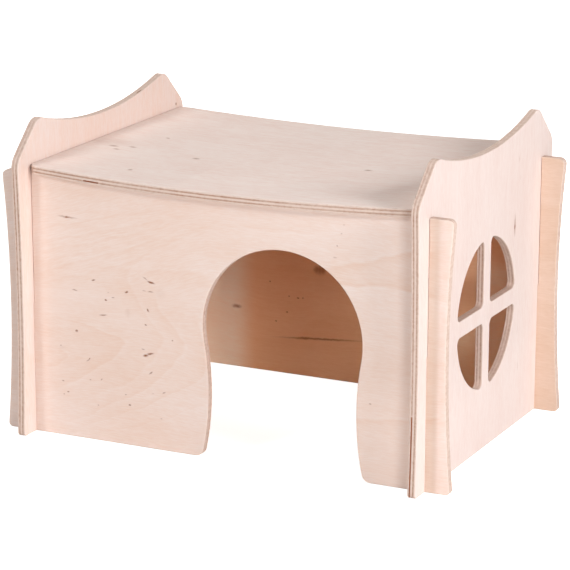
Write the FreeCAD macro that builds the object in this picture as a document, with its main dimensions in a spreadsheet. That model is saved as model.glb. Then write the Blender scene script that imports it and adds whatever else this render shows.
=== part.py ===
import math
import os
from enum import IntEnum

import FreeCAD
import Part
import Sketcher
from FreeCAD import Vector

# A slot-together hamster house, cut from one thickness of plywood.
#
# Frame: +X to the right seen from the front, +Y to the back, +Z up. The origin is on the ground,
# under the middle of the house. All sizes are millimetres.
#
# Front and back walls are notched from the top edge, the two side walls from the bottom edge, so
# each corner is a cross-lap. The roof is a dished board that lies on the curved top edges of the
# front and back walls, held between the side walls, and lifts off.

SIZES = [
    ("ply", 4.0, "thickness of every board"),
    ("inside_width", 200.0, "between the side walls"),
    ("outer_depth", 142.0, "over the front and back walls"),
    ("wall_height", 128.0, "front and back walls"),
    ("lap_height", 64.0, "ground to where the notches of two walls meet"),
    ("lap_clearance", 0.2, "how much wider a notch is than the board in it"),
    ("edge_break", 0.4, "bevel sanded on both edges of every cut"),
    ("foot_round", 2.0, "bottom corners of every wall"),
    ("fin_reach", 12.1, "front and back walls stand this far past the side walls"),
    ("fin_waist", 3.1, "how far a fin's edge draws in at its middle"),
    ("fin_round", 3.0, "top corners of the fins"),
    ("side_reach", 11.5, "side walls stand this far past the front and back walls"),
    ("side_waist", 2.0, "how far a side wall's edge draws in at its middle"),
    ("shoulder_rise", 6.6, "front and back wall tops up to the corner under a horn"),
    ("shoulder_round", 9.0, "that corner"),
    ("horn_inset", 20.0, "side wall's end to its horn"),
    ("horn_rise", 18.65, "shoulder to horn"),
    ("horn_round", 8.0, "horn tips"),
    ("saddle_depth", 9.25, "dip between the two horns, below their corners"),
    ("door_offset", 31.5, "doorway right of the middle"),
    ("door_radius", 40.7, "round upper part of the doorway"),
    ("door_lintel", 23.1, "wood above the doorway, at the wall's ends"),
    ("door_pinch", 2.9, "how much each side narrows below the round part"),
    ("door_waist_height", 32.0, "ground to the narrowest place"),
    ("door_foot_round", 4.5, "doorway's two bottom corners"),
    ("window_height", 66.6, "ground to the middle of the window"),
    ("window_radius", 36.2, "round window in a side wall"),
    ("window_bar", 8.0, "width of the cross left standing in the window"),
    ("pane_round", 3.0, "corners of the four panes"),
    ("roof_dish", 3.1, "dip of the front and back wall tops, from side wall to side wall"),
    ("roof_side_gap", 0.4, "roof to side wall, each side"),
    ("roof_seat_gap", 0.3, "roof to the wall tops it lies on"),
    ("roof_depth", 153.8, "roof front to back, along a side wall"),
    ("roof_bulge", 1.8, "how far its front and back edges bow out"),
    ("roof_setback", 3.1, "the loose roof lies this far to the back"),
    ("roof_round", 4.0, "corners of the roof"),
    ("blank_margin", 6.0, "waste on the bent roof blank before it is trimmed"),
]


class Length:
    """A size that knows both its number and the expression that gives it from the sheet."""

    def __init__(self, value, text):
        self.value = value
        self.text = text

    @staticmethod
    def of(thing):
        """A bare number as a Length. A Length stays as it is."""
        return thing if isinstance(thing, Length) else Length(float(thing), repr(float(thing)))

    def __add__(self, other):
        other = Length.of(other)
        return Length(self.value + other.value, f"({self.text} + {other.text})")

    def __sub__(self, other):
        other = Length.of(other)
        return Length(self.value - other.value, f"({self.text} - {other.text})")

    def __mul__(self, other):
        other = Length.of(other)
        return Length(self.value * other.value, f"({self.text} * {other.text})")

    def __truediv__(self, other):
        other = Length.of(other)
        return Length(self.value / other.value, f"({self.text} / {other.text})")

    def __neg__(self):
        return Length(-self.value, f"(0 - {self.text})")


class EdgePoint(IntEnum):
    """The sketcher's numbers for the points of a line or arc."""

    START = 1
    END = 2
    CENTRE = 3


class SketchAxis(IntEnum):
    """The sketcher's numbers for a sketch's own axes."""

    ACROSS = -1
    UP = -2


ORIGIN = (SketchAxis.ACROSS, EdgePoint.START)
EDGE_ENDS = (EdgePoint.START, EdgePoint.END)
ZERO = Length(0.0, "0")

doc = FreeCAD.newDocument("hamster_house")
sheet = doc.addObject("Spreadsheet::Sheet", "sizes")
for row, (alias, number, note) in enumerate(SIZES, start=1):
    sheet.set(f"A{row}", note)
    sheet.set(f"B{row}", str(number))
    sheet.setAlias(f"B{row}", alias)
doc.recompute()
size = {alias: Length(float(sheet.get(alias)), f"sizes.{alias}") for alias, _, _ in SIZES}

# Sizes that more than one board shares.
half_inside = size["inside_width"] / 2
half_depth = size["outer_depth"] / 2
side_middle = half_inside + size["ply"] / 2
cross_middle = half_depth - size["ply"] / 2
notch_width = size["ply"] + size["lap_clearance"]
dish_radius = (side_middle * side_middle + size["roof_dish"] * size["roof_dish"]) / (size["roof_dish"] * 2)
dish_centre = size["wall_height"] - size["roof_dish"] + dish_radius

# Which ways of a body run across and up in a sketch on each of its planes.
SKETCH_AXES = {"YZ_Plane": ("y", "z"), "XZ_Plane": ("x", "z"), "XY_Plane": ("x", "y")}

# Places nearer than this are the same.
TOUCH = 1e-4

PANES = 4
FULL_TURN = 360


def new_body(name):
    """An empty body with its name on it."""
    body = doc.addObject("PartDesign::Body", name)
    body.Label = name
    return body


def new_sketch(body, plane, name):
    """An empty sketch on one of the body's own origin planes."""
    sketch = body.newObject("Sketcher::SketchObject", name)
    origin_plane = [feature for feature in body.Origin.OriginFeatures if feature.Role == plane][0]
    sketch.AttachmentSupport = (origin_plane, [""])
    sketch.MapMode = "FlatFace"
    return sketch


def bind(sketch, constraint, length):
    """Tie a dimension of the sketch to the sheet."""
    name = f"size{constraint}"
    sketch.renameConstraint(constraint, name)
    sketch.setExpression(f"Constraints.{name}", length.text)


def pin(sketch, geometry, end, across, up):
    """Place one point of the sketch, measured from the sketch's origin. None leaves a way free."""
    for kind, axis, length in (("DistanceX", SketchAxis.UP, across), ("DistanceY", SketchAxis.ACROSS, up)):
        if length is None:
            continue
        if abs(length.value) < TOUCH:
            sketch.addConstraint(Sketcher.Constraint("PointOnObject", geometry, end, axis))
        elif length.value > 0:
            index = sketch.addConstraint(Sketcher.Constraint(kind, *ORIGIN, geometry, end, length.value))
            bind(sketch, index, length)
        else:
            index = sketch.addConstraint(Sketcher.Constraint(kind, geometry, end, *ORIGIN, -length.value))
            bind(sketch, index, -length)


def end_at(sketch, geometry, place):
    """Which end of a line or arc lies at a place."""
    return min(EDGE_ENDS, key=lambda end: (sketch.getPoint(geometry, end) - place).Length)


def at(across, up):
    """A place of a sketch as a vector."""
    return Vector(across.value, up.value, 0)


def draw_loop(sketch, corners, middles):
    """A closed loop through the corners. An edge with a middle point is an arc through it."""
    edges = []
    for index, start in enumerate(corners):
        finish = corners[(index + 1) % len(corners)]
        middle = middles.get(index)
        if middle is None:
            edges.append(sketch.addGeometry(Part.LineSegment(at(*start), at(*finish)), False))
            continue
        arc = sketch.addGeometry(Part.Arc(at(*start), at(*middle), at(*finish)), False)
        marker = sketch.addGeometry(Part.Point(at(*middle)), True)
        sketch.addConstraint(Sketcher.Constraint("PointOnObject", marker, EdgePoint.START, arc))
        pin(sketch, marker, EdgePoint.START, *middle)
        edges.append(arc)
    for index, corner in enumerate(corners):
        before = edges[index - 1]
        after = edges[index]
        before_end = end_at(sketch, before, at(*corner))
        after_end = end_at(sketch, after, at(*corner))
        sketch.addConstraint(Sketcher.Constraint("Coincident", before, before_end, after, after_end))
        pin(sketch, after, after_end, *corner)


def pad(body, sketch, thickness):
    """A board: the sketch thickened to both sides of its plane."""
    board = body.newObject("PartDesign::Pad", f"{sketch.Name}_board")
    board.Profile = sketch
    board.SideType = "Symmetric"
    board.setExpression("Length", thickness.text)
    doc.recompute()


def cut_through(body, sketch):
    """Cut the sketch right through the board, and make sure that wood was removed."""
    before = body.Shape.Volume
    cut = body.newObject("PartDesign::Pocket", f"{sketch.Name}_cut")
    cut.Profile = sketch
    cut.SideType = "Symmetric"
    cut.Type = "ThroughAll"
    doc.recompute()
    if not cut.Shape.Volume < before - TOUCH:
        raise RuntimeError(f"{cut.Name} removed nothing")
    return cut


def finish_edges(body, name, edges, kind, length):
    """Round ("Fillet") or bevel ("Chamfer") some edges of the body's last feature, by number."""
    base = body.Tip
    finish = body.newObject(f"PartDesign::{kind}", name)
    finish.Base = (base, [f"Edge{number}" for number in edges])
    finish.setExpression("Radius" if kind == "Fillet" else "Size", length.text)
    doc.recompute()


def round_corners(body, plane, name, corners, radius):
    """Round the board's corners at these places of the plane."""
    edges = corner_edges(body.Shape, plane, corners)
    finish_edges(body, f"{body.Name}_{name}", edges, "Fillet", radius)


def corner_edges(shape, plane, corners):
    """Numbers of the straight edges that run through the board at the given corners."""
    found = []
    for number, edge in enumerate(shape.Edges, start=1):
        ends = [edge.Vertexes[0].Point, edge.Vertexes[-1].Point]
        start, finish = (Vector(*(getattr(end, axis) for axis in SKETCH_AXES[plane]), 0) for end in ends)
        if (start - finish).Length > TOUCH or (ends[0] - ends[1]).Length < TOUCH:
            continue
        if any((start - at(*corner)).Length < TOUCH for corner in corners):
            found.append(number)
    if len(found) != len(corners):
        raise RuntimeError(f"{len(found)} edges found at {len(corners)} corners")
    return found


def rim_edges(shape):
    """Numbers of all edges of the board's two broad faces."""
    broad = sorted(shape.Faces, key=lambda face: face.Area)[-2:]
    rims = [edge for face in broad for edge in face.Edges]
    return [
        number
        for number, edge in enumerate(shape.Edges, start=1)
        if any(edge.isSame(rim) for rim in rims)
    ]


def mirrored(corners):
    """The corners and their mirror images across the sketch's upright axis."""
    return corners + [(-across, up) for across, up in corners]


def break_edges(body):
    """Sand the sharp edge off all round both broad faces."""
    finish_edges(body, f"{body.Name}_bevels", rim_edges(body.Shape), "Chamfer", size["edge_break"])


def cut_notches(body, plane, centre, low, high):
    """Two upright notches, one near each end of a wall, for the walls that cross it."""
    sketch = new_sketch(body, plane, f"{body.Name}_notches")
    for side in (centre, -centre):
        left = side - notch_width / 2
        right = side + notch_width / 2
        draw_loop(sketch, [(left, low), (right, low), (right, high), (left, high)], {})
    cut_through(body, sketch)


def cut_doorway(body):
    """The keyhole doorway: a round top that draws in below and flares to the ground."""
    radius = size["door_radius"]
    centre_height = size["wall_height"] - size["door_lintel"] - radius
    waist = radius - size["door_pinch"]
    drop = centre_height.value - size["door_waist_height"].value
    # Both arcs of a jamb touch smoothly, which fixes the lower arc's radius. These numbers only
    # give the solver a start.
    jamb_radius = (waist.value**2 + drop**2 - radius.value**2) / (2 * (radius.value - waist.value))
    reach = Vector(waist.value + jamb_radius, -drop, 0)
    touch = reach.normalize() * radius.value
    half_foot = waist.value + jamb_radius - math.sqrt(jamb_radius**2 - size["door_waist_height"].value ** 2)

    sketch = new_sketch(body, "XZ_Plane", f"{body.Name}_doorway")
    middle = at(size["door_offset"], centre_height)
    right_touch = middle + touch
    left_touch = middle + Vector(-touch.x, touch.y, 0)
    crest = middle + Vector(0, radius.value, 0)
    crown = sketch.addGeometry(Part.Arc(right_touch, crest, left_touch), False)
    pin(sketch, crown, EdgePoint.CENTRE, size["door_offset"], centre_height)
    bind(sketch, sketch.addConstraint(Sketcher.Constraint("Radius", crown, radius.value)), radius)

    feet = []
    for sign, top in ((1, right_touch), (-1, left_touch)):
        narrowest = (size["door_offset"] + waist * sign, size["door_waist_height"])
        foot = Vector(middle.x + sign * half_foot, 0, 0)
        jamb = sketch.addGeometry(Part.Arc(top, at(*narrowest), foot), False)
        marker = sketch.addGeometry(Part.Point(at(*narrowest)), True)
        sketch.addConstraint(Sketcher.Constraint("PointOnObject", marker, EdgePoint.START, jamb))
        pin(sketch, marker, EdgePoint.START, *narrowest)
        pin(sketch, jamb, EdgePoint.CENTRE, None, size["door_waist_height"])
        crown_end = end_at(sketch, crown, top)
        jamb_top = end_at(sketch, jamb, top)
        jamb_foot = end_at(sketch, jamb, foot)
        sketch.addConstraint(Sketcher.Constraint("Tangent", crown, crown_end, jamb, jamb_top))
        pin(sketch, jamb, jamb_foot, None, ZERO)
        feet.append((jamb, jamb_foot))
    sill = sketch.addGeometry(
        Part.LineSegment(sketch.getPoint(*feet[0]), sketch.getPoint(*feet[1])), False
    )
    for end, (jamb, jamb_foot) in zip(EDGE_ENDS, feet):
        sketch.addConstraint(Sketcher.Constraint("Coincident", sill, end, jamb, jamb_foot))
    cut_through(body, sketch)

    corners = [(Length.of(sketch.getPoint(*foot).x), ZERO) for foot in feet]
    round_corners(body, "XZ_Plane", "door_feet", corners, size["door_foot_round"])


def cut_window(body):
    """A round window: one pane cut beside the cross, then turned three times about the middle."""
    sketch = new_sketch(body, "YZ_Plane", f"{body.Name}_pane")
    sketch.setExpression("AttachmentOffset.Base.y", size["window_height"].text)
    half_bar = size["window_bar"] / 2
    radius = size["window_radius"]
    far = Length.of(math.sqrt(radius.value**2 - half_bar.value**2))
    inner = (half_bar, half_bar)
    low_end = (far, half_bar)
    high_end = (half_bar, far)
    outer = Vector(radius.value / math.sqrt(2), radius.value / math.sqrt(2), 0)
    rim = sketch.addGeometry(Part.Arc(at(*low_end), outer, at(*high_end)), False)
    sketch.addConstraint(Sketcher.Constraint("Coincident", rim, EdgePoint.CENTRE, *ORIGIN))
    bind(sketch, sketch.addConstraint(Sketcher.Constraint("Radius", rim, radius.value)), radius)
    inner_ends = []
    for tip, direction in ((low_end, "Horizontal"), (high_end, "Vertical")):
        bar_edge = sketch.addGeometry(Part.LineSegment(at(*inner), at(*tip)), False)
        sketch.addConstraint(Sketcher.Constraint(direction, bar_edge))
        rim_end = end_at(sketch, rim, at(*tip))
        sketch.addConstraint(Sketcher.Constraint("Coincident", bar_edge, EdgePoint.END, rim, rim_end))
        inner_ends.append((bar_edge, EdgePoint.START))
    sketch.addConstraint(Sketcher.Constraint("Coincident", *inner_ends[0], *inner_ends[1]))
    pin(sketch, *inner_ends[0], *inner)
    pane = cut_through(body, sketch)

    before = body.Shape.Volume
    panes = body.newObject("PartDesign::PolarPattern", f"{body.Name}_panes")
    panes.Originals = [pane]
    panes.Axis = (sketch, ["N_Axis"])
    panes.Angle = FULL_TURN
    panes.Occurrences = PANES
    body.Tip = panes
    doc.recompute()
    if not panes.Shape.Volume < before - TOUCH:
        raise RuntimeError(f"{panes.Name} removed nothing")

    height = size["window_height"]
    corners = []
    for across, up in (inner, low_end, high_end):
        for _ in range(PANES):
            across, up = -up, across
            corners.append((across, up + height))
    round_corners(body, "YZ_Plane", "pane_corners", corners, size["pane_round"])


def make_cross_wall(name, sign, has_doorway):
    """The front or back wall, with a fin past each side wall and a top edge that carries the roof."""
    body = new_body(name)
    fin_edge = half_inside + size["ply"] + size["fin_reach"]
    fin_middle = (fin_edge - size["fin_waist"], size["wall_height"] / 2)
    top = size["wall_height"]
    sketch = new_sketch(body, "XZ_Plane", f"{name}_outline")
    corners = [(fin_edge, ZERO), (fin_edge, top), (side_middle, top)]
    draw_loop(
        sketch,
        corners + [(-across, up) for across, up in reversed(corners)],
        {
            0: fin_middle,
            2: (ZERO, top - size["roof_dish"]),
            4: (-fin_middle[0], fin_middle[1]),
        },
    )
    pad(body, sketch, size["ply"])
    round_corners(body, "XZ_Plane", "feet", mirrored([(fin_edge, ZERO)]), size["foot_round"])
    round_corners(body, "XZ_Plane", "fin_tops", mirrored([(fin_edge, top)]), size["fin_round"])
    if has_doorway:
        cut_doorway(body)
    break_edges(body)
    cut_notches(body, "XZ_Plane", side_middle, size["lap_height"], top + size["ply"])
    place_body(body, "y", cross_middle * sign)
    return body


def make_side_wall(name, sign):
    """A side wall: two horns with a saddle between them, and a round window in four panes."""
    body = new_body(name)
    end = half_depth + size["side_reach"]
    shoulder = size["wall_height"] + size["shoulder_rise"]
    horn = (end - size["horn_inset"], shoulder + size["horn_rise"])
    edge_middle = (end - size["side_waist"], shoulder / 2)
    sketch = new_sketch(body, "YZ_Plane", f"{name}_outline")
    corners = [(end, ZERO), (end, shoulder), horn]
    draw_loop(
        sketch,
        corners + [(-across, up) for across, up in reversed(corners)],
        {
            0: edge_middle,
            2: (ZERO, horn[1] - size["saddle_depth"]),
            4: (-edge_middle[0], edge_middle[1]),
        },
    )
    pad(body, sketch, size["ply"])
    round_corners(body, "YZ_Plane", "feet", mirrored([(end, ZERO)]), size["foot_round"])
    round_corners(body, "YZ_Plane", "shoulders", mirrored([(end, shoulder)]), size["shoulder_round"])
    round_corners(body, "YZ_Plane", "horns", mirrored([horn]), size["horn_round"])
    cut_window(body)
    break_edges(body)
    cut_notches(body, "YZ_Plane", cross_middle, -size["ply"], size["lap_height"])
    place_body(body, "x", side_middle * sign)
    return body


def make_roof(name):
    """The roof board: a blank bent to the dish of the wall tops, then trimmed to its outline."""
    body = new_body(name)
    half_width = half_inside - size["roof_side_gap"]
    half_length = size["roof_depth"] / 2
    under_radius = dish_radius - size["roof_seat_gap"]
    top_radius = under_radius - size["ply"]
    blank_half = half_width + size["blank_margin"]

    sketch = new_sketch(body, "XZ_Plane", f"{name}_bend")
    arcs = []
    for radius in (under_radius, top_radius):
        low = dish_centre.value - radius.value
        high = dish_centre.value - math.sqrt(radius.value**2 - blank_half.value**2)
        ends = [Vector(sign * blank_half.value, high, 0) for sign in (-1, 1)]
        arc = sketch.addGeometry(Part.Arc(ends[0], Vector(0, low, 0), ends[1]), False)
        pin(sketch, arc, EdgePoint.CENTRE, ZERO, dish_centre)
        bind(sketch, sketch.addConstraint(Sketcher.Constraint("Radius", arc, radius.value)), radius)
        arcs.append((arc, ends))
    for side, across in ((0, -blank_half), (1, blank_half)):
        start, finish = (ends[side] for _, ends in arcs)
        edge = sketch.addGeometry(Part.LineSegment(start, finish), False)
        for edge_end, (arc, ends) in zip(EDGE_ENDS, arcs):
            arc_end = end_at(sketch, arc, ends[side])
            sketch.addConstraint(Sketcher.Constraint("Coincident", edge, edge_end, arc, arc_end))
            pin(sketch, arc, arc_end, across, None)
    pad(body, sketch, size["roof_depth"] + (size["roof_bulge"] + size["blank_margin"]) * 2)

    trim = new_sketch(body, "XY_Plane", f"{name}_trim")
    corners = [(half_width, -half_length), (half_width, half_length)]
    corners += [(-half_width, half_length), (-half_width, -half_length)]
    bulge = half_length + size["roof_bulge"]
    draw_loop(trim, corners, {1: (ZERO, bulge), 3: (ZERO, -bulge)})
    outside = [
        (across + size["blank_margin"] * 2 * (1 if across.value > 0 else -1),
         up + (size["roof_bulge"] + size["blank_margin"]) * 2 * (1 if up.value > 0 else -1))
        for across, up in corners
    ]
    draw_loop(trim, outside, {})
    cut_through(body, trim)

    round_corners(body, "XY_Plane", "corners", corners, size["roof_round"])
    break_edges(body)
    place_body(body, "y", size["roof_setback"])
    return body


def place_body(body, axis, distance):
    """Move the whole board along one axis."""
    body.setExpression(f"Placement.Base.{axis}", distance.text)


def check_document():
    """Stop if any object failed or any board isn't one sound solid."""
    doc.recompute()
    for thing in doc.Objects:
        if "Invalid" in thing.State or "Error" in thing.State:
            raise RuntimeError(f"{thing.Name}: {thing.State}")
    for body in boards:
        shape = body.Shape
        if shape.isNull() or not shape.isValid() or len(shape.Solids) != 1:
            raise RuntimeError(f"{body.Name} isn't one sound solid")


boards = [
    make_cross_wall("front_panel", -1, True),
    make_cross_wall("back_panel", 1, False),
    make_side_wall("left_side_panel", -1),
    make_side_wall("right_side_panel", 1),
    make_roof("roof_panel"),
]
check_document()

os.makedirs("parts", exist_ok=True)
for board in boards:
    board.Shape.exportStep(os.path.join("parts", f"{board.Label}.step"))
    box = board.Shape.BoundBox
    print(f"{board.Label}: {box.XLength:.1f} x {box.YLength:.1f} x {box.ZLength:.1f} mm")
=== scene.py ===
"""A slot-together hamster house of birch plywood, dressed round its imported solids.

Each board is rebuilt in finer mesh from the outline that its solid has at half thickness: sanded
round edges, five veneers on every cut, and open gaps where a cross veneer was pieced. The roof board
is cut flat and then bent to the dish of its solid. The finish is one birch plywood whose figure,
fibres, pith flecks and cut veneers follow each board's own grain.
"""
import logging
import math
from dataclasses import dataclass
from enum import Enum
from functools import partial
from typing import Any, Callable, Sequence

import bmesh
import bpy
from mathutils import Matrix, Vector


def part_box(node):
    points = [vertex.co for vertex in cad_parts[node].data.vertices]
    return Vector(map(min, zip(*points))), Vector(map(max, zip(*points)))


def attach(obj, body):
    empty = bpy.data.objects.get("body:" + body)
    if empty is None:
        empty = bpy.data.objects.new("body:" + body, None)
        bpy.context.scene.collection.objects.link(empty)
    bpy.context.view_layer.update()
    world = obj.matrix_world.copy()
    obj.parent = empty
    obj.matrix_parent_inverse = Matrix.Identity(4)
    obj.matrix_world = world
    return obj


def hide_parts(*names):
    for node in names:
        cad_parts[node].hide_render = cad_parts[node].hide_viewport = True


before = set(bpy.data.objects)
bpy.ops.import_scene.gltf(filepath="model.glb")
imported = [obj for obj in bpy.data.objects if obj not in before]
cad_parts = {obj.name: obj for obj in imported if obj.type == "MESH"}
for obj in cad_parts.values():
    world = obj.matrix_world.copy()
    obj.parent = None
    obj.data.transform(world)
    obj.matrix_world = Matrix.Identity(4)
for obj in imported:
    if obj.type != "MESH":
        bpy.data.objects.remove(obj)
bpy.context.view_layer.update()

log = logging.getLogger("hamster_house")

MM = 0.001
IMAGE_PIXELS = 570

BOARD_COORDS = "board"
END_GRAIN = "end_grain"

AddNode = Callable[..., Any]
Caps = dict[int, list[bmesh.types.BMEdge]]

# A pattern that is mapped to a shade ends up half a step either side of no shade.
SWING = {"To Min": -0.5, "To Max": 0.5}
# A stretch so long that depth counts for nothing.
NO_DEPTH = 1e6
# How far one step of its seed moves a pattern.
SEED_STEP = Vector((7.31, 3.17, 1.93))


class Axis(Enum):
    """An axis of the house: X to the right, Y to the back, Z up."""

    X = 0
    Y = 1
    Z = 2


class Run(Enum):
    """Which way a growth line runs on its board: with the grain, or across it."""

    ALONG = 0
    ACROSS = 1


# --- small helpers ---


def linear(hex_colour: str) -> tuple[float, float, float, float]:
    """Turns an sRGB hex colour into linear light.

    Args:
        hex_colour: Six hex digits, with or without a leading #.

    Returns:
        Red, green, blue and an alpha of 1.
    """
    digits = hex_colour.lstrip("#")
    channels = [int(digits[i : i + 2], 16) / 255 for i in (0, 2, 4)]
    light = [c / 12.92 if c <= 0.04045 else ((c + 0.055) / 1.055) ** 2.4 for c in channels]
    return (*light, 1.0)


def add_node(
    tree: bpy.types.NodeTree, kind: str, inputs: dict[str | int, Any] | None = None, **settings: Any
) -> Any:
    """Adds one node with its settings, and feeds its inputs.

    Args:
        tree: The node tree that gets the node.
        kind: The node's type without the ShaderNode prefix.
        inputs: Input names or numbers, each with a value, an output socket, or a node whose first
            output feeds it.
        settings: Properties of the node.

    Returns:
        The new node.
    """
    node = tree.nodes.new(f"ShaderNode{kind}")
    for name, value in settings.items():
        setattr(node, name, value)
    for key, value in (inputs or {}).items():
        if isinstance(value, bpy.types.Node):
            value = next(output for output in value.outputs if output.enabled)
        if isinstance(value, bpy.types.NodeSocket):
            tree.links.new(value, node.inputs[key])
        else:
            node.inputs[key].default_value = value
    return node


def empty_tree(owner: bpy.types.Material | bpy.types.World) -> AddNode:
    """Clears the node tree of a material or world.

    Args:
        owner: The material or world.

    Returns:
        What adds a node to the tree: add_node with the tree filled in.
    """
    owner.use_nodes = True
    owner.node_tree.nodes.clear()
    return partial(add_node, owner.node_tree)


def direction(bearing: float, height: float) -> Vector:
    """Gives the way from the house to a lamp or the camera.

    Args:
        bearing: Degrees to the right of straight ahead of the doorway.
        height: Degrees above the floor.

    Returns:
        The way, one metre long.
    """
    bearing, height = math.radians(bearing), math.radians(height)
    level = Vector((math.sin(bearing), -math.cos(bearing), 0.0)) * math.cos(height)
    return level + Vector((0.0, 0.0, math.sin(height)))


# --- the board's make-up ---


@dataclass(frozen=True)
class Layup:
    """Five veneers glued crosswise, and how a cut through them is finished."""

    face_veneer: float = 0.8 * MM
    core_veneer: float = 0.9 * MM
    arris: float = 0.45 * MM
    arris_steps: int = 4
    cross_recess: float = 0.06 * MM
    ledge: float = 0.03 * MM

    def profile(self, thickness: float) -> list[tuple[float, float, int]]:
        """Gives the cut edge's outline from one broad face to the other.

        Args:
            thickness: The board's thickness.

        Returns:
            Points as inset from the outline, depth from half thickness, and the cross veneer that
            the point lies on: 1 for the upper, -1 for the lower, 0 for neither.
        """
        half = thickness / 2
        face_glue = half - self.face_veneer
        core_glue = self.core_veneer / 2
        upper = []
        for step in range(self.arris_steps + 1):
            turn = math.pi / 2 * step / self.arris_steps
            upper.append((self.arris * (1 - math.sin(turn)), half - self.arris * (1 - math.cos(turn)), 0))
        upper += [
            (0.0, face_glue + self.ledge, 0),
            (self.cross_recess, face_glue - self.ledge, 1),
            (self.cross_recess, core_glue + self.ledge, 1),
            (0.0, core_glue - self.ledge, 0),
        ]
        return upper + [(inset, -depth, -cross) for inset, depth, cross in reversed(upper)]


@dataclass(frozen=True)
class Gap:
    """A slot on a cut edge where a cross veneer was pieced, in millimetres on the board."""

    along: float
    across: float
    length: float
    cross: int
    depth: float


@dataclass(frozen=True)
class Fleck:
    """A pith fleck, pin knot or bark streak on a board's face, in millimetres on the board."""

    along: float
    across: float
    length: float
    width: float
    strength: float
    tilt: float = 0.0

    @classmethod
    def several(cls, *flecks: tuple[float, ...]) -> list["Fleck"]:
        """Makes several flecks, each from its values in the order of the fields."""
        return [cls(*values) for values in flecks]


@dataclass(frozen=True)
class GrowthLine:
    """A line where the peeling knife left a growth ring, with a warm band that fades to one side.

    Points are millimetres on the board, each as place on the line's run and place off it. The band
    lies towards lower places off the run, or towards higher ones where its width is negative. Both
    fade out over the last parts of the run, from fade_from, where 0.5 is its very end.
    """

    run: Run
    points: tuple[tuple[float, float], ...]
    band: float
    strength: float
    rim: float = 1.2
    fade_from: float = 0.38

    def draw(self, add: AddNode, places: Sequence[Any]) -> Any:
        """Draws the line and its band.

        Args:
            add: Adds a node to the tree.
            places: The board coordinates along and across the grain.

        Returns:
            A node whose first output is 0 off the line, -0.3 on its pale rim and 0.7 on its warm side.
        """
        (first, start), (last, end) = self.points[0], self.points[-1]
        low = min(off for _, off in self.points)
        span = max(off for _, off in self.points) - low
        run = {"Value": places[self.run.value], "From Min": first, "From Max": last}
        place = add("MapRange", run, clamp=False)
        line = add("FloatCurve", {"Value": place})
        curve = line.mapping.curves[0]
        for on, off in self.points[1:-1]:
            curve.points.new((on - first) / (last - first), (off - low) / span)
        curve.points[0].location = (0.0, (start - low) / span)
        curve.points[-1].location = (1.0, (end - low) / span)
        line.mapping.update()
        line = add("Math", {0: line, 1: span, 2: low}, operation="MULTIPLY_ADD")
        off = add("Math", {0: places[1 - self.run.value], 1: line}, operation="SUBTRACT")
        off = add("Math", {0: off, 1: 1 / self.band, 2: 1.0}, operation="MULTIPLY_ADD")
        shade = add("ValToRGB", {"Fac": add("Math", {0: off, 1: 0.5}, operation="MULTIPLY")})
        rim = 0.5 + self.rim / 2 / abs(self.band)
        stops = ((0.0, 0.3), (0.3, 0.5), (0.49, 1.0), (rim, 0.0), (rim + 0.08, 0.3))
        for position, _ in stops[1:-1]:
            shade.color_ramp.elements.new(position)
        for element, (position, level) in zip(shade.color_ramp.elements, stops):
            element.position = position
            element.color = (level, level, level, 1.0)
        shade = add("Math", {0: shade, 1: 0.3}, operation="SUBTRACT")
        from_end = add("Math", {0: place, 1: -0.5}, operation="ADD")
        from_end = add("Math", {0: from_end}, operation="ABSOLUTE")
        there = add("MapRange", {"Value": from_end, "From Min": 0.5, "From Max": self.fade_from})
        return add("Math", {0: shade, 1: there}, operation="MULTIPLY")


@dataclass(frozen=True)
class PaintedLightPart:
    """A part of a face in tones that paint light or shade on it, by default the deeper tan of painted shade
    inside.

    The corners, and the width of the soft border, are millimetres on the board.
    """

    low: tuple[float, float]
    high: tuple[float, float]
    # By default the deeper, more saturated tan of the house's inside: painted shade.
    pale: str = "#FFBD86"
    warm: str = "#F8B077"
    border: float = 0.2

    def draw(self, add: AddNode, board: Any) -> Any:
        """Finds the part.

        Args:
            add: Adds a node to the tree.
            board: The board coordinates.

        Returns:
            A node whose first output is 1 on it and 0 off it.
        """
        places = add("SeparateXYZ", {0: board}).outputs
        share: Any = 1.0
        for place, low, high in zip(places, self.low, self.high):
            off = add("Math", {0: place, 1: (low + high) / 2}, operation="SUBTRACT")
            off = add("Math", {0: off}, operation="ABSOLUTE")
            half, soft = (high - low) / 2, self.border / 2
            rim = {"Value": off, "From Min": half + soft, "From Max": half - soft}
            within = add("MapRange", rim, interpolation_type="SMOOTHSTEP")
            share = add("Math", {0: share, 1: within}, operation="MULTIPLY")
        return share


@dataclass(frozen=True)
class Grain:
    """An irregular pattern in wood, drawn from the length and width of its patches.

    Sizes are millimetres, along the grain and across it. The seed sets patterns apart.
    """

    length: float
    width: float
    seed: float
    detail: float = 2.0
    roughness: float = 0.55

    def draw(self, add: AddNode, board: Any) -> Any:
        """Draws the pattern.

        Args:
            add: Adds a node to the tree.
            board: The board coordinates.

        Returns:
            A node whose first output runs from 0 to 1.
        """
        apart = SEED_STEP * self.seed
        scale = (1 / self.length, 1 / self.width, 1 / self.width)
        place = add("Mapping", {"Vector": board, "Location": apart, "Scale": scale})
        noise = {"Vector": place, "Scale": 1.0, "Detail": self.detail, "Roughness": self.roughness}
        return add("TexNoise", noise)

    def shake(self, add: AddNode, board: Any, reach: tuple[float, float, float]) -> Any:
        """Moves places on the board about by the pattern.

        Args:
            add: Adds a node to the tree.
            board: The board coordinates.
            reach: How far they move from end to end, along, across and in depth.

        Returns:
            A node that gives the moved coordinates.
        """
        shift = self.draw(add, board).outputs["Color"]
        shift = add("VectorMath", {0: shift, 1: (0.5, 0.5, 0.5)}, operation="SUBTRACT")
        return add("VectorMath", {0: shift, 1: reach, 2: board}, operation="MULTIPLY_ADD")


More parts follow.
